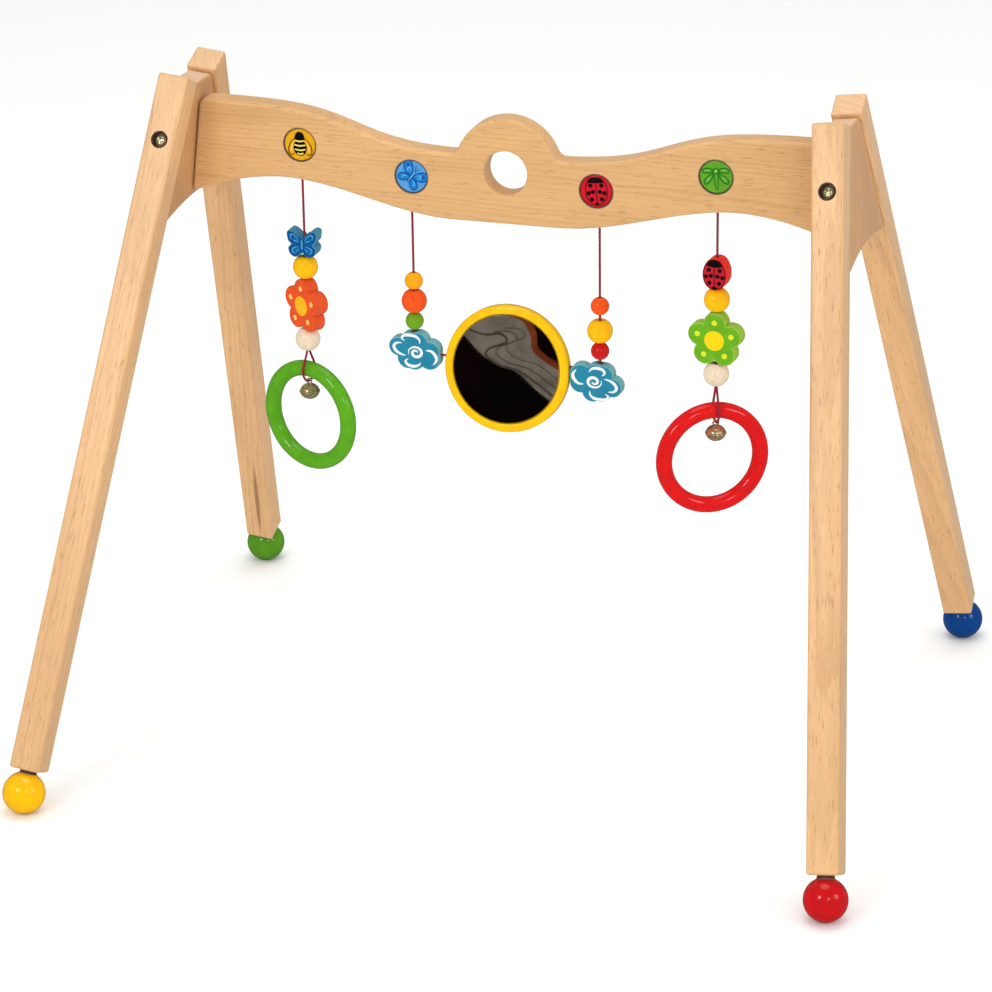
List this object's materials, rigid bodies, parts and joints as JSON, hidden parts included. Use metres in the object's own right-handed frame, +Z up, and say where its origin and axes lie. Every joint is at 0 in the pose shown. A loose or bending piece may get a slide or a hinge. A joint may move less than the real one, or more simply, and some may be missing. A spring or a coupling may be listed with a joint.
{
  "type": "activity play gym",
  "caption": "Wooden baby play gym: two A-shaped ends, wavy bar with a round hole, bead strings with rings and bells, and a round mirror hung between two strings",
  "frame": {"origin": "On the floor, below the middle of the crossbar", "axes": "+X along the crossbar to the viewer's right, -Y towards the viewer, +Z up"},
  "size_m": [0.6008, 0.5034, 0.4808],
  "materials": {
    "wood": "clear lacquered beech",
    "natural": "pale untinted wood",
    "yellow": "yellow lacquer on wood",
    "amber": "amber lacquer on wood",
    "orange": "orange lacquer on wood",
    "red": "red lacquer on wood",
    "green": "green lacquer on wood",
    "blue": "blue lacquer on wood",
    "sky": "sky blue lacquer on wood",
    "teal": "teal lacquer on wood",
    "cord": "round braided polyester cord",
    "zinc": "yellow zinc plated steel",
    "nickel": "nickel plated steel",
    "mirror": "shatterproof mirror sheet"
  },
  "bodies": {
    "stand": {"front_left_leg": "wood", "front_right_leg": "wood", "back_left_leg": "wood", "back_right_leg": "wood", "left_end_block": "wood", "right_end_block": "wood", "crossbar": "wood", "front_left_leg_screw": "zinc", "front_right_leg_screw": "zinc", "back_left_leg_screw": "zinc", "back_right_leg_screw": "zinc", "left_upper_dowel": "natural", "left_lower_dowel": "natural", "right_upper_dowel": "natural", "right_lower_dowel": "natural", "front_left_foot": "yellow", "front_right_foot": "red", "back_left_foot": "green", "back_right_foot": "blue", "bee_disc": "yellow", "butterfly_disc": "sky", "ladybird_disc": "red", "dragonfly_disc": "green", "left_inner_cord_knot": "cord", "left_outer_cord_knot": "cord", "right_inner_cord_knot": "cord", "right_outer_cord_knot": "cord"},
    "left_bend": {"left_outer_cord_bend": "cord"},
    "left_string": {"left_outer_cord": "cord"},
    "butterfly_bead": {"butterfly_bead": "sky"},
    "left_outer_round_bead": {"left_outer_round_bead": "yellow"},
    "orange_flower_bead": {"orange_flower_bead": "orange"},
    "left_outer_natural_bead": {"left_outer_natural_bead": "natural"},
    "green_ring": {"green_ring": "green"},
    "left_bell": {"left_bell": "nickel"},
    "left_bell_pellet": {"left_bell_pellet": "nickel"},
    "right_bend": {"right_outer_cord_bend": "cord"},
    "right_string": {"right_outer_cord": "cord"},
    "ladybird_bead": {"ladybird_bead": "red"},
    "right_outer_round_bead": {"right_outer_round_bead": "yellow"},
    "green_flower_bead": {"green_flower_bead": "green"},
    "right_outer_natural_bead": {"right_outer_natural_bead": "natural"},
    "red_ring": {"red_ring": "red"},
    "right_bell": {"right_bell": "nickel"},
    "right_bell_pellet": {"right_bell_pellet": "nickel"},
    "inner_bend": {"inner_cord_bend": "cord"},
    "left_inner_string": {"left_inner_cord": "cord"},
    "right_inner_string": {"right_inner_cord": "cord"},
    "cloud_row": {"left_cloud_bead": "teal", "right_cloud_bead": "teal", "left_mirror_link": "cord", "right_mirror_link": "cord"},
    "mirror": {"mirror_frame": "yellow", "mirror_plate": "mirror"},
    "left_inner_top_bead": {"left_inner_top_bead": "amber"},
    "left_inner_round_bead": {"left_inner_round_bead": "orange"},
    "left_inner_low_bead": {"left_inner_low_bead": "green"},
    "right_inner_top_bead": {"right_inner_top_bead": "orange"},
    "right_inner_round_bead": {"right_inner_round_bead": "yellow"},
    "right_inner_low_bead": {"right_inner_low_bead": "red"}
  },
  "joints": [
    {"name": "left_fore_aft_swing", "type": "hinge", "parent": "stand", "child": "left_bend", "pos_m": [-0.1525, 0, 0.40042], "axis": [1, 0, 0], "range_deg": [-25, 25]},
    {"name": "left_side_swing", "type": "hinge", "parent": "left_bend", "child": "left_string", "pos_m": [-0.1525, 0, 0.40042], "axis": [0, 1, 0], "range_deg": [-9, 9]},
    {"name": "butterfly_bead_spin", "type": "hinge", "parent": "left_string", "child": "butterfly_bead", "pos_m": [-0.1525, 0, 0.3536], "axis": [0, 0, 1], "continuous": true},
    {"name": "left_outer_round_bead_spin", "type": "hinge", "parent": "left_string", "child": "left_outer_round_bead", "pos_m": [-0.1525, 0, 0.3355], "axis": [0, 0, 1], "continuous": true},
    {"name": "orange_flower_bead_spin", "type": "hinge", "parent": "left_string", "child": "orange_flower_bead", "pos_m": [-0.1525, 0, 0.307], "axis": [0, 0, 1], "continuous": true},
    {"name": "left_outer_natural_bead_spin", "type": "hinge", "parent": "left_string", "child": "left_outer_natural_bead", "pos_m": [-0.1525, 0, 0.2815], "axis": [0, 0, 1], "continuous": true},
    {"name": "green_ring_rock", "type": "hinge", "parent": "left_string", "child": "green_ring", "pos_m": [-0.1525, 0, 0.2584], "axis": [0.9397, -0.342, 0], "range_deg": [-20, 20]},
    {"name": "left_bell_swing", "type": "hinge", "parent": "left_string", "child": "left_bell", "pos_m": [-0.1525, 0, 0.24925], "axis": [-0.342, -0.9397, 0], "range_deg": [-15, 15]},
    {"name": "left_bell_pellet_jump", "type": "slide", "parent": "left_bell", "child": "left_bell_pellet", "axis": [0, 0, 1], "range_m": [0, 0.004]},
    {"name": "right_fore_aft_swing", "type": "hinge", "parent": "stand", "child": "right_bend", "pos_m": [0.1489, 0, 0.40042], "axis": [1, 0, 0], "range_deg": [-25, 25]},
    {"name": "right_side_swing", "type": "hinge", "parent": "right_bend", "child": "right_string", "pos_m": [0.1489, 0, 0.40042], "axis": [0, 1, 0], "range_deg": [-9, 9]},
    {"name": "ladybird_bead_spin", "type": "hinge", "parent": "right_string", "child": "ladybird_bead", "pos_m": [0.1489, 0, 0.3575], "axis": [0, 0, 1], "continuous": true},
    {"name": "right_outer_round_bead_spin", "type": "hinge", "parent": "right_string", "child": "right_outer_round_bead", "pos_m": [0.1489, 0, 0.3378], "axis": [0, 0, 1], "continuous": true},
    {"name": "green_flower_bead_spin", "type": "hinge", "parent": "right_string", "child": "green_flower_bead", "pos_m": [0.1489, 0, 0.3093], "axis": [0, 0, 1], "continuous": true},
    {"name": "right_outer_natural_bead_spin", "type": "hinge", "parent": "right_string", "child": "right_outer_natural_bead", "pos_m": [0.1489, 0, 0.2836], "axis": [0, 0, 1], "continuous": true},
    {"name": "red_ring_rock", "type": "hinge", "parent": "right_string", "child": "red_ring", "pos_m": [0.1489, 0, 0.2568], "axis": [0.848, 0.5299, 0], "range_deg": [-20, 20]},
    {"name": "right_bell_swing", "type": "hinge", "parent": "right_string", "child": "right_bell", "pos_m": [0.1489, 0, 0.24765], "axis": [0.5299, -0.848, 0], "range_deg": [-15, 15]},
    {"name": "right_bell_pellet_jump", "type": "slide", "parent": "right_bell", "child": "right_bell_pellet", "axis": [0, 0, 1], "range_m": [0, 0.004]},
    {"name": "row_fore_aft_swing", "type": "hinge", "parent": "stand", "child": "inner_bend", "pos_m": [-0.0713, 0, 0.38267], "axis": [1, 0, 0], "range_deg": [-25, 25]},
    {"name": "row_side_swing", "type": "hinge", "parent": "inner_bend", "child": "left_inner_string", "pos_m": [-0.0713, 0, 0.38267], "axis": [0, 1, 0], "range_deg": [-9, 9]},
    {"name": "right_inner_side_swing", "type": "hinge", "parent": "inner_bend", "child": "right_inner_string", "pos_m": [0.0652, 0, 0.38267], "axis": [0, 1, 0], "range_deg": [-9, 9]},
    {"name": "row_stays_level", "type": "hinge", "parent": "left_inner_string", "child": "cloud_row", "pos_m": [-0.0713, 0, 0.2895], "axis": [0, 1, 0], "range_deg": [-9, 9]},
    {"name": "mirror_tilt", "type": "hinge", "parent": "cloud_row", "child": "mirror", "pos_m": [-0.0023, 0, 0.2785], "axis": [1, 0, 0], "range_deg": [-50, 65]},
    {"name": "left_inner_top_bead_spin", "type": "hinge", "parent": "left_inner_string", "child": "left_inner_top_bead", "pos_m": [-0.0713, 0, 0.3322], "axis": [0, 0, 1], "continuous": true},
    {"name": "left_inner_round_bead_spin", "type": "hinge", "parent": "left_inner_string", "child": "left_inner_round_bead", "pos_m": [-0.0713, 0, 0.3173], "axis": [0, 0, 1], "continuous": true},
    {"name": "left_inner_low_bead_spin", "type": "hinge", "parent": "left_inner_string", "child": "left_inner_low_bead", "pos_m": [-0.0713, 0, 0.3024], "axis": [0, 0, 1], "continuous": true},
    {"name": "right_inner_top_bead_spin", "type": "hinge", "parent": "right_inner_string", "child": "right_inner_top_bead", "pos_m": [0.0652, 0, 0.3255], "axis": [0, 0, 1], "continuous": true},
    {"name": "right_inner_round_bead_spin", "type": "hinge", "parent": "right_inner_string", "child": "right_inner_round_bead", "pos_m": [0.0652, 0, 0.3073], "axis": [0, 0, 1], "continuous": true},
    {"name": "right_inner_low_bead_spin", "type": "hinge", "parent": "right_inner_string", "child": "right_inner_low_bead", "pos_m": [0.0652, 0, 0.2925], "axis": [0, 0, 1], "continuous": true}
  ],
  "couplings": [
    {"joint": "right_inner_side_swing", "follows": "row_side_swing", "ratio": 1},
    {"joint": "row_stays_level", "follows": "row_side_swing", "ratio": -1}
  ]
}
